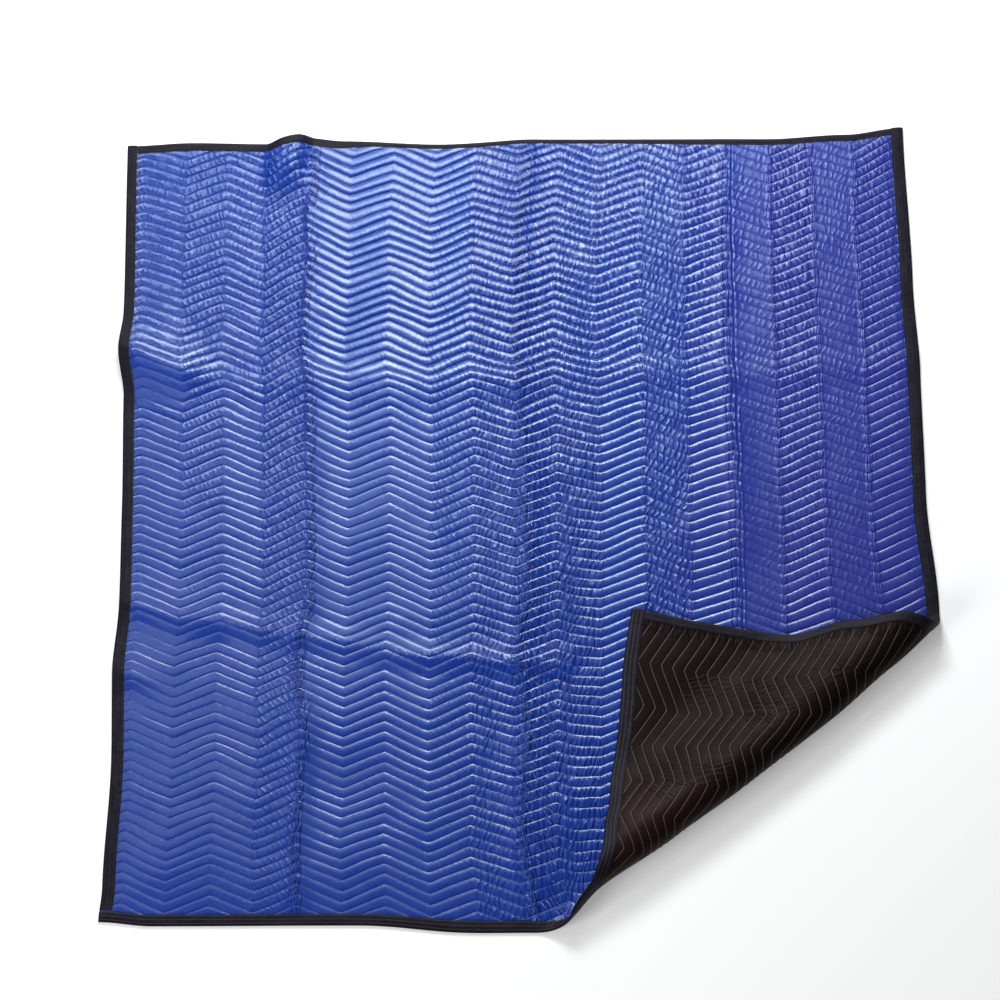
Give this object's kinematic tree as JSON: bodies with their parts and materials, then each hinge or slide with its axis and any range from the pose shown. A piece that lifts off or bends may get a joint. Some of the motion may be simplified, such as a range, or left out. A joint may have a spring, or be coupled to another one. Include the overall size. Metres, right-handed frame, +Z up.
{
  "type": "moving blanket",
  "caption": "Quilted moving blanket lying face up, blue face and black back, bound edges, one corner folded over in a soft roll.",
  "frame": {"origin": "on the floor, under the middle of the blanket's box as it lies", "axes": "+X across its width, +Y along its length away from the folded corner, +Z up from the floor"},
  "size_m": [1.8946, 2.0884, 0.0832],
  "materials": {
    "face": "glossy woven polyester, quilted",
    "back": "matt woven polyester, quilted",
    "tape": "matt woven tape"
  },
  "bodies": {
    "root": {"face_cloth": "face", "back_cloth": "back", "binding_left": "tape", "binding_right": "tape", "binding_top": "tape", "binding_bottom": "tape"}
  },
  "joints": []
}
